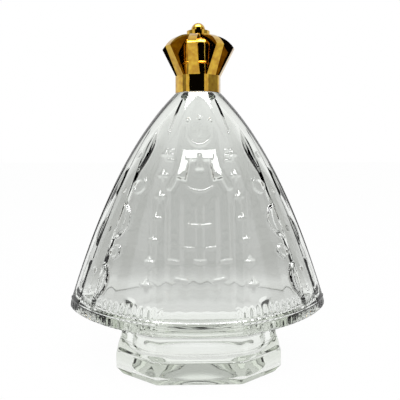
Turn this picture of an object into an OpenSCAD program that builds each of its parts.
// Glass holy water bottle in the outline of a mantled figure, with a crown-shaped screw cap.
// Millimetres, +Z up, front towards -Y, origin at the middle of the resting face.

/* [Mantle] */
// Height of the shoulder on which the cap comes down
shoulder_z = 192; // [170:1:215]
// Diameter of the shoulder under the cap
shoulder_d = 33.6; // [32:0.2:40]
// Slope of the flank at the shoulder, from upright
shoulder_slope = 45; // [38:1:52]
// Width across the hem
hem_w = 185; // [150:1:210]
// Depth across the hem
hem_d = 112; // [96:1:140]
// Slope of the flank at the hem, from upright
hem_slope = 16.5; // [10:0.5:22]
// Height of the hem's lower edge
hem_z = 37; // [34:0.5:48]
// Height of the beaded band round the hem
band_h = 6.5; // [4:0.5:9]
// How far the band stands out from the flank
band_out = 0.8; // [0.4:0.1:1.6]
// How pointed the plan is at the two ends of the hem, where 1 is an ellipse
hem_power = 1.54; // [1:0.02:1.8]
// How far the robe lies back behind the edges of the open mantle
robe_step = 1.6; // [0.6:0.1:2.4]
// Angle from the front at which the robe ends and the border of the mantle begins
robe_angle = 48.5; // [42:0.5:56]
// Angle that the border takes up
border_span = 13; // [9:0.5:16]
// How far the border stands out from the mantle
border_rise = 0.8; // [0.4:0.1:1.2]
// Depth of the groove along the outer edge of the border
groove_depth = 1.1; // [0.5:0.1:1.5]

/* [Figure] */
// Height of the middle of the head
head_z = 165; // [160:0.5:170]
// Width of the head
head_w = 18.8; // [16:0.2:22]
// Height of the head
head_h = 22.4; // [20:0.2:26]
// How far the head stands out
head_rise = 1.6; // [0.8:0.1:2.4]
// Angle from the front of the two grooves that draw the edges of the veil
veil_angle = 31; // [28:0.5:34]
// Depth of the grooves of the veil
veil_depth = 1.2; // [0.6:0.1:1.6]
// Height of the neckline, from which yoke and sleeves hang
neckline_z = 152.5; // [148:0.5:156]
// Height of the yoke
yoke_h = 6.5; // [5:0.5:8]
// How far the lower edge of the yoke stands out
yoke_rise = 2.4; // [1.2:0.1:3.2]
// Length of a sleeve
sleeve_l = 19.5; // [16:0.5:24]
// Width of a sleeve
sleeve_w = 7; // [5:0.2:9]
// How far the cuff of a sleeve stands out
sleeve_rise = 6; // [3:0.2:7]
// How far the joined hands stand out
hand_rise = 2.8; // [1.5:0.1:4]

/* [Foot] */
// Width of the octagonal foot
foot_w = 112; // [96:1:124]
// Depth of the octagonal foot
foot_d = 84; // [76:1:92]
// Height of the foot
foot_h = 16.5; // [13:0.5:20]
// Width of the front and back facets of the foot
foot_front = 58; // [44:1:70]
// Width of the two side facets of the foot
foot_side = 48; // [36:1:60]
// How far the heel bevel cuts in
heel_in = 4; // [2:0.5:6]
// How high the heel bevel reaches
heel_h = 5.5; // [3:0.5:8]
// How far the waist lies inside the foot's walls under the mantle
waist_in = 3; // [1.5:0.1:4]
// Width of the push-up under the foot
punt_w = 76; // [60:1:84]
// Depth of the push-up, front to back
punt_d = 50; // [40:1:56]
// Height of the push-up
punt_h = 7.5; // [5:0.5:9]

/* [Glass] */
// Thickness of the wall
wall = 4.5; // [3.5:0.1:6]
// Thickness of the glass over the push-up
floor_t = 6.5; // [4:0.5:9]
// Diameter of the bore of the neck
bore_d = 15; // [13:0.5:16]
// Outer diameter of the neck, at the root of its thread
neck_d = 21.4; // [20.4:0.1:21.8]
// Outer diameter of the thread on the neck
thread_d = 23.5; // [23:0.1:23.9]
// Height of the neck above the shoulder
neck_h = 13.5; // [12:0.5:14.5]
// Rounding of the lip
lip_r = 1; // [0.5:0.1:1.4]

/* [Cap] */
// Angle at which the cap stops when it is screwed tight
cap_turned = -11; // [-22:0.5:22]
// Gap between the cap and the shoulder
cap_gap = 0.4; // [0.3:0.1:1]
// Thickness of the sealing disc
liner_t = 1.2; // [0.8:0.1:1.6]
// Wall of the screw insert outside its bore
insert_wall = 1.05; // [1:0.05:1.1]
// Roof of the screw insert
insert_roof = 1.4; // [1:0.1:2]
// Radial clearance between the thread and the bore of the insert
thread_clear = 0.1; // [0.1:0.01:0.2]
// Radial clearance between the insert and the crown, and between the finial's pin and the hub
press_clear = 0.02; // [0.01:0.01:0.05]
// Radial clearance of the sealing disc in the bore of the insert
liner_clear = 0.3; // [0.2:0.05:0.5]
// How far the rim of the insert lies up inside the skirt
insert_up = 0.8; // [0.5:0.1:2]

/* [Crown] */
// Width of the skirt across its flats
skirt_flats = 31.6; // [31:0.1:33]
// Height of the skirt
skirt_h = 12; // [10:0.5:13]
// Diameter at which the corners of the skirt are rounded off
skirt_corner_d = 33.5; // [33.2:0.1:34]
// Number of fins, one over each flat of the skirt
fin_count = 8; // [6:1:10]
// Diameter of the core between the fins
core_d = 28.2; // [27.8:0.1:29]
// Height above the skirt of the rib round the core
rib_up = 8.6; // [7:0.2:11]
// Radius of the half-round rib
rib_r = 0.75; // [0.5:0.05:1]
// Diameter of the crown at its widest
crown_d = 52.2; // [48:0.2:56]
// Height of the widest place above the skirt
flare_h = 20; // [18:0.5:22]
// Height of the crown's top above the skirt
crown_h = 29.4; // [28:0.2:32]
// Diameter of the flat top of the crown
top_d = 18; // [17:0.5:20]
// Width of a fin at the skirt
fin_foot_w = 7.7; // [6.6:0.1:8.4]
// Width of a fin at the top
fin_top_w = 5.6; // [4.8:0.1:6.4]
// Thickness of the dome of the core
dome_t = 1.8; // [1.4:0.1:2.2]
// Height of the dome's springing above the skirt
dome_up = 21; // [18:0.5:22]
// How far the top of the dome lies under the crown's top
dome_down = 2.6; // [2:0.1:4]

/* [Finial] */
// Diameter of the orb
orb_d = 10.2; // [9:0.1:12]
// Diameter of the collar plate under the orb
collar_d = 16.8; // [14:0.2:17]
// Thickness of the collar plate
collar_t = 3.6; // [2.5:0.1:4.5]
// How deep the orb sinks into the collar
orb_sink = 3.9; // [3:0.1:4.4]
// Diameter of the pin in the hub
pin_d = 4; // [3:0.1:5]
// Length of the pin
pin_l = 3; // [2:0.1:3.4]

/* [Hidden] */
$fn = 96;
// Steps of the columns round the glass, of its flank, of the sweep under the mantle and of the push-up
figure_steps = 14;
robe_steps = 5;
side_steps = 7;
back_steps = 10;
flank_steps = 30;
waist_steps = 4;
under_steps = 5;
inside_around = 48;
inside_steps = 10;
turn_steps = 5;
sweep_steps = 3;
well_steps = 3;
punt_steps = 4;

// Mantle
shoulder_r = shoulder_d / 2;
hem_a = hem_w / 2 - band_out;
hem_b = hem_d / 2 - band_out;
band_top = hem_z + band_h;
border_angle = robe_angle + border_span;
// The flank is a curve whose two end slopes meet at its pull point
flank_drop = shoulder_z - band_top;
flank_run = hem_a - shoulder_r;
pull_down = (flank_run - flank_drop * tan(hem_slope)) / (tan(shoulder_slope) - tan(hem_slope));
shoulder = [shoulder_r, shoulder_z];
pull = [shoulder_r + pull_down * tan(shoulder_slope), shoulder_z - pull_down];
hem = [hem_a, band_top];

// Foot and waist
foot_a = foot_w / 2;
foot_b = foot_d / 2;
// The waist steps in this far on the foot
waist_step = 0.5;
// The underside of the mantle sweeps from the waist to the hem over this height
under_h = 9;
under_z = hem_z - under_h;
// How far the plan of the foot turns at the corners of its side facets
corner_turn = atan2(foot_w - foot_front, foot_d - foot_side);
slant = [cos(corner_turn), sin(corner_turn)];
// How deep one body of glass runs into the next
sunk = 4;
floor_z = punt_h + floor_t;
// How sharp the corners of the octagon are, outside and in the well
corner_power_out = 90;
corner_power_in = 9;

// Neck and cap
lip_z = shoulder_z + neck_h;
skirt_z = shoulder_z + cap_gap;
roof_z = lip_z + liner_t;
insert_bore_d = thread_d + 2 * thread_clear;
insert_d = insert_bore_d + 2 * insert_wall;
insert_z = skirt_z + insert_up;
insert_top = roof_z + insert_roof;
crown_bore_d = insert_d + 2 * press_clear;

// Crown
fin_z = skirt_z + skirt_h;
rib_z = fin_z + rib_up;
wide_z = fin_z + flare_h;
crown_top = fin_z + crown_h;
flat_r = skirt_flats / 2;
wide_r = crown_d / 2;
top_r = top_d / 2;
// The back of each fin is an arc that leaves the flat top level and ends at the widest place
arch_rise = crown_top - wide_z;
arch_r = (pow(wide_r - top_r, 2) + pow(arch_rise, 2)) / (2 * arch_rise);
dome_r = core_d / 2;
dome_z = fin_z + dome_up;
dome_rise = crown_top - dome_down - dome_z;

// 0 below the first value, 1 above the second and smooth between
function blend(low, high, x) =
    let (t = min(1, max(0, (x - low) / (high - low))))
    t * t * (3 - 2 * t);

// A point of the curve that runs from one end to the other and is drawn towards the pull point
function curve(start, pulled, end, t) =
    pow(1 - t, 2) * start + 2 * t * (1 - t) * pulled + pow(t, 2) * end;

// A point of a plan with half-width a and half-depth b, at an angle from the front round to the right
function plan(angle, a, b, power) =
    let (c = cos(angle))
    [a * sin(angle), -b * sign(c) * pow(abs(c), power)];

// The direction square to the plan at that point
function plan_out(angle, a, b, power) =
    let (c = max(0.001, abs(cos(angle))))
    let (out = [b * power * pow(c, power - 1) * sin(angle), -a * c * sign(cos(angle))])
    out / norm(out);

// Columns of the outside: closest on the figure, and along the veil's grooves and the edges of the border
edge_angle = 0.7;
groove_angle = 1.3;
function spread(from, to, steps) = [for (i = [1 : steps]) from + (to - from) * i / steps];
half_columns = concat(
    [0],
    spread(0, veil_angle - groove_angle, figure_steps),
    [veil_angle, veil_angle + groove_angle],
    spread(veil_angle + groove_angle, robe_angle - edge_angle, robe_steps),
    [robe_angle + edge_angle, robe_angle + border_span / 2],
    [border_angle - groove_angle, border_angle, border_angle + groove_angle],
    spread(border_angle + groove_angle, 90, side_steps),
    spread(90, 180, back_steps)
);
columns = concat(half_columns, [for (i = [len(half_columns) - 2 : -1 : 1]) 360 - half_columns[i]]);
inside_columns = spread(0, 360, inside_around);
function from_front(angle) = min(angle, 360 - angle);

// Relief of the figure: rises over the flank at a place across and up the front
function head(x, z) =
    let (off = pow(2 * x / head_w, 2) + pow(2 * (z - head_z) / head_h, 2))
    head_rise * pow(max(0, 1 - off), 0.7);

// The sides of yoke and sleeves round off over this width
side_soft = 1;

// The yoke leans out from the neckline to its lower edge
yoke_half = 10;
function yoke(x, z) =
    let (down = (neckline_z - z) / yoke_h)
    let (across = 1 - blend(yoke_half - side_soft, yoke_half, abs(x)))
    yoke_rise * min(1, max(0, down)) * (1 - blend(1, 1.25, down)) * across;

// A sleeve hangs from the neckline and stands out more and more towards its cuff
sleeve_x = 8.2;
sleeve_lean = 11;
function sleeve(x, z) =
    let (from = [abs(x) - sleeve_x, neckline_z - z])
    let (along = from[0] * sin(sleeve_lean) + from[1] * cos(sleeve_lean))
    let (beside = abs(from[0] * cos(sleeve_lean) - from[1] * sin(sleeve_lean)))
    let (share = along / sleeve_l)
    sleeve_rise * min(1, max(0, share)) * (1 - blend(0.97, 1.05, share))
        * (1 - blend(sleeve_w / 2 - side_soft, sleeve_w / 2, beside));

// Joined hands between the sleeves, narrower towards the fingertips
hand_down = 8;
hand_half_h = 6;
hand_half_w = 3.2;
function hands(x, z) =
    let (up = (z - neckline_z + hand_down) / hand_half_h)
    let (half = hand_half_w * (1 - 0.5 * blend(-0.5, 1, up)))
    hand_rise * sqrt(max(0, 1 - pow(x / half, 2))) * (1 - blend(0.7, 1, abs(up)));

function figure(x, z) = max(head(x, z), yoke(x, z), sleeve(x, z), hands(x, z));

// The veil's grooves run down from the shoulder past the head
veil_drop = 6;
veil_top = shoulder_z - veil_drop;
veil_low = 160;
veil_soft = 2;
veil_fade = 10;
function veil(off, z) =
    let (fade = 1 - blend(veil_top - veil_soft, veil_top + veil_soft, z))
    -veil_depth * max(0, 1 - abs(off - veil_angle) / groove_angle)
        * blend(veil_low, veil_low + veil_fade, z) * fade;

// The border stands between robe and mantle with a groove along its outer edge, and begins beside the head
border_top = 168;
border_full = 152;
function border(off) =
    border_rise * (blend(robe_angle - edge_angle, robe_angle + edge_angle, off)
        - blend(border_angle - edge_angle, border_angle + edge_angle, off))
        - groove_depth * max(0, 1 - abs(off - border_angle) / groove_angle);
function robe(off) = -robe_step * (1 - blend(robe_angle - edge_angle, robe_angle + edge_angle, off));
function border_share(z) = 1 - blend(border_full, border_top, z);

function relief(off, x, z) =
    (off < 90 ? figure(x, z) : 0) + veil(off, z) + (border(off) + robe(off)) * border_share(z);

// Half the depth of the mantle, and how pointed it is, where its half-width is a
function mantle_share(a) = (a - shoulder_r) / (hem_a - shoulder_r);
function mantle_depth(a) = shoulder_r + (hem_b - shoulder_r) * mantle_share(a);
function mantle_power(a) = 1 + (hem_power - 1) * mantle_share(a);

// How far the front of the flank leans back from upright
function flank_lean(t) =
    let (fall = (1 - t) * (pull - shoulder) + t * (hem - pull))
    atan2(fall[0] * (hem_b - shoulder_r) / (hem_a - shoulder_r), -fall[1]);

// A ring of the flank with its relief, which dies away at the hem and at the shoulder
function flank_ring(t) =
    let (p = curve(shoulder, pull, hem, t), a = p[0], z = p[1], lean = flank_lean(t))
    let (b = mantle_depth(a), power = mantle_power(a))
    [for (angle = columns)
        let (flat = plan(angle, a, b, power), out = plan_out(angle, a, b, power))
        let (rise = relief(from_front(angle), flat[0], z) * blend(0, 0.04, t) * (1 - blend(0.98, 1, t)))
        let (place = flat + rise * cos(lean) * out)
        [place[0], place[1], z + rise * sin(lean)]];

function flat_ring(z, angles, a, b, power) =
    [for (angle = angles) let (p = plan(angle, a, b, power)) [p[0], p[1], z]];

function hem_ring(share, out) =
    flat_ring(hem_z + band_h * share, columns, hem_a + out, hem_b + out, hem_power);

// Distance from the axis to the foot's octagon, drawn in by a margin
function octagon_reach(way, margin, power) =
    let (x = abs(way[0]), y = abs(way[1]), slant_off = slant * [foot_a, foot_side / 2] - margin)
    let (facets = [x / (foot_a - margin), y / (foot_b - margin), slant * [x, y] / slant_off])
    pow(pow(facets[0], power) + pow(facets[1], power) + pow(facets[2], power), -1 / power);

// A ring between the octagonal waist, which widens down to the foot, and the hem, drawn in by an inset
function waist_margin(z) = waist_step + (waist_in - waist_step) * blend(foot_h, under_z, z);
function waist_ring(z, share, angles, inset, margin, corner_power) =
    [for (angle = angles)
        let (edge = plan(angle, hem_a - inset, hem_b - inset, hem_power), way = edge / norm(edge))
        let (waist = octagon_reach(way, inset + margin, corner_power))
        let (place = way * (waist + (norm(edge) - waist) * share))
        [place[0], place[1], z]];

// The sweep under the mantle leaves the waist upright and meets the hem level
function under_ring(t, angles, inset, corner_power) =
    let (z = under_z + under_h * sin(90 * t))
    waist_ring(z + inset, 1 - cos(90 * t), angles, inset, waist_in, corner_power);

// The lowest ring ends as a plain oval inside the foot
outer_rings = [
    flat_ring(foot_h - sunk, columns, foot_b - sunk, foot_b - sunk, 1),
    waist_ring(foot_h - sunk / 2, 0, columns, 0, waist_step, corner_power_out),
    for (i = [1 : waist_steps - 1])
        let (z = foot_h + (under_z - foot_h) * i / waist_steps)
        waist_ring(z, 0, columns, 0, waist_margin(z), corner_power_out),
    for (i = [0 : under_steps - 1]) under_ring(i / under_steps, columns, 0, corner_power_out),
    hem_ring(0, 0),
    hem_ring(0.15, 0.75 * band_out),
    hem_ring(0.5, band_out),
    hem_ring(0.85, 0.75 * band_out),
    for (i = [flank_steps : -1 : 0]) flank_ring(i / flank_steps)
];

// The inside follows the flank one wall in, and closes just inside the bore under the neck
bore_lap = 0.8;
bore_down = 2;
inner_top = [bore_d / 2 - bore_lap, shoulder_z - bore_down];
inner_hem = [hem_a - wall, band_top + wall];
inner_pull = [pull[0] - wall, pull[1] - wall];
robe_soft = 8;

function inner_ring(place) =
    let (share = (place[0] - inner_top[0]) / (inner_hem[0] - inner_top[0]))
    let (b = inner_top[0] + (hem_b - wall - inner_top[0]) * share)
    [for (angle = inside_columns)
        let (p = plan(angle, place[0], b, 1 + (hem_power - 1) * share))
        let (robe = 1 - blend(robe_angle - robe_soft, robe_angle, from_front(angle)))
        let (high = border_share(place[1]) * blend(under_z, inner_hem[1], place[1]))
        [p[0], p[1] + robe_step * robe * high, place[1]]];

// At the hem it leaves the flank and turns in a round towards the well
turn_from = 0.94;
turn_to = 0.75;
turn_start = curve(inner_top, inner_pull, inner_hem, turn_from);
turn_corner = [hem_a - wall, band_top];
turn_end = [foot_a - waist_in - wall + (hem_a - foot_a + waist_in) * (1 - cos(90 * turn_to)),
            under_z + wall + under_h * sin(90 * turn_to)];

// The well in the foot has a rounded floor
well_round = 2 * wall;
function well_ring(t) =
    waist_ring(floor_z + well_round * (1 - cos(90 * t)), 0, inside_columns,
               wall + well_round * (1 - sin(90 * t)), waist_in, corner_power_in);

inner_rings = [
    for (i = [0 : well_steps]) well_ring(i / well_steps),
    for (i = [0 : sweep_steps])
        under_ring(turn_to * i / sweep_steps, inside_columns, wall, corner_power_in),
    for (i = [turn_steps - 1 : -1 : 1])
        inner_ring(curve(turn_start, turn_corner, turn_end, i / turn_steps)),
    for (i = [inside_steps : -1 : 0])
        inner_ring(curve(inner_top, inner_pull, inner_hem, turn_from * i / inside_steps))
];

// The push-up is an oval dome
function punt_ring(share) =
    flat_ring(punt_h * (1 - share * share), inside_columns, punt_w / 2 * share, punt_d / 2 * share, 1);
punt_share = 1.06;
punt_rings = [for (i = [0 : punt_steps]) punt_ring(punt_share * (1 - 0.9 * i / punt_steps))];

// Corners of the foot at a height, drawn in by a margin all round
function foot_ring(z, margin) =
    let (a = foot_a - margin, b = foot_b - margin)
    let (side = foot_side / 2 - margin * tan(corner_turn / 2))
    let (front = foot_front / 2 - margin * tan((90 - corner_turn) / 2))
    [[a, -side, z], [a, side, z], [front, b, z], [-front, b, z],
     [-a, side, z], [-a, -side, z], [-front, -b, z], [front, -b, z]];

// Closed body through rings of equally many points, from the lowest ring up
module loft(rings) {
    count = len(rings[0]);
    last = len(rings) - 1;
    points = [for (r = rings) each r];
    sides = [
        for (k = [0 : last - 1], i = [0 : count - 1])
            let (j = (i + 1) % count)
            each [[k * count + i, (k + 1) * count + j, k * count + j],
                  [k * count + i, (k + 1) * count + i, (k + 1) * count + j]]
    ];
    bottom = [for (i = [0 : count - 1]) i];
    top = [for (i = [count - 1 : -1 : 0]) last * count + i];
    polyhedron(points, concat(sides, [bottom, top]));
}

module foot() {
    loft([foot_ring(0, heel_in), foot_ring(heel_h, 0), foot_ring(foot_h, 0)]);
}

module neck() {
    rotate_extrude() {
        translate([0, shoulder_z - sunk]) square([neck_d / 2, neck_h + sunk - lip_r]);
        translate([0, shoulder_z]) square([neck_d / 2 - lip_r, neck_h]);
        translate([neck_d / 2 - lip_r, lip_z - lip_r]) circle(lip_r);
    }
}

module glass_bottle() {
    color("gainsboro", 0.4)
    difference() {
        union() {
            loft(outer_rings);
            foot();
            neck();
        }
        loft(inner_rings);
        translate([0, 0, inner_top[1] - sunk]) cylinder(d = bore_d, h = neck_h + 3 * sunk);
        loft(punt_rings);
    }
}

module seal_liner() {
    color("white")
    translate([0, 0, lip_z]) cylinder(d = insert_bore_d - 2 * liner_clear, h = liner_t);
}

module screw_insert() {
    color("ivory")
    difference() {
        translate([0, 0, insert_z]) cylinder(d = insert_d, h = insert_top - insert_z);
        translate([0, 0, insert_z - 1]) cylinder(d = insert_bore_d, h = roof_z - insert_z + 1);
    }
}

// Outline of a fin in its own upright plane, from the axis outwards
module fin_outline() {
    slope = (wide_r - flat_r) / flare_h;
    intersection() {
        polygon([[0, fin_z], [flat_r, fin_z], [flat_r + slope * crown_h, crown_top], [0, crown_top]]);
        translate([top_r, crown_top - arch_r]) circle(arch_r);
    }
}

// Front of a fin as seen from outside, narrower towards its top
module fin_front() {
    polygon([[-fin_foot_w / 2, fin_z - 1], [fin_foot_w / 2, fin_z - 1],
             [fin_top_w / 2, crown_top + 1], [-fin_top_w / 2, crown_top + 1]]);
}

module fin() {
    intersection() {
        rotate([90, 0, 0]) linear_extrude(fin_foot_w + 2, center = true) fin_outline();
        rotate([90, 0, 90]) linear_extrude(wide_r + 2) fin_front();
    }
}

module skirt() {
    intersection() {
        translate([0, 0, skirt_z]) rotate(180 / fin_count)
            cylinder(r = flat_r / cos(180 / fin_count), h = skirt_h, $fn = fin_count);
        translate([0, 0, skirt_z - 1]) cylinder(d = skirt_corner_d, h = skirt_h + 2);
    }
}

// Half the outline of the core, drawn in by an inset
module core_outline(inset) {
    translate([0, fin_z - 1]) square([dome_r - inset, dome_up + 1]);
    translate([0, dome_z]) square([dome_r - dome_rise, dome_rise - inset]);
    translate([0, dome_z]) intersection() {
        translate([dome_r - dome_rise, 0]) circle(dome_rise - inset);
        square([dome_r, dome_rise]);
    }
}

module core() {
    rotate_extrude() {
        core_outline(0);
        translate([dome_r, rib_z]) circle(rib_r);
    }
    translate([0, 0, dome_z + dome_rise / 2]) cylinder(r = top_r, h = crown_top - dome_z - dome_rise / 2);
}

module crown_shell() {
    color("gold")
    rotate(cap_turned - 90)
    difference() {
        union() {
            skirt();
            core();
            for (i = [0 : fin_count - 1]) rotate(360 * i / fin_count) fin();
        }
        translate([0, 0, skirt_z - 1]) cylinder(d = crown_bore_d, h = insert_top - skirt_z + 1);
        rotate_extrude() core_outline(dome_t);
        translate([0, 0, dome_z]) cylinder(d = pin_d + 2 * press_clear, h = crown_h);
    }
}

module finial() {
    color("gold")
    union() {
        translate([0, 0, crown_top]) cylinder(d = collar_d, h = collar_t);
        translate([0, 0, crown_top + collar_t + orb_d / 2 - orb_sink]) sphere(d = orb_d);
        translate([0, 0, crown_top - pin_l]) cylinder(d = pin_d, h = pin_l + 1);
    }
}

glass_bottle();
seal_liner();
screw_insert();
crown_shell();
finial();
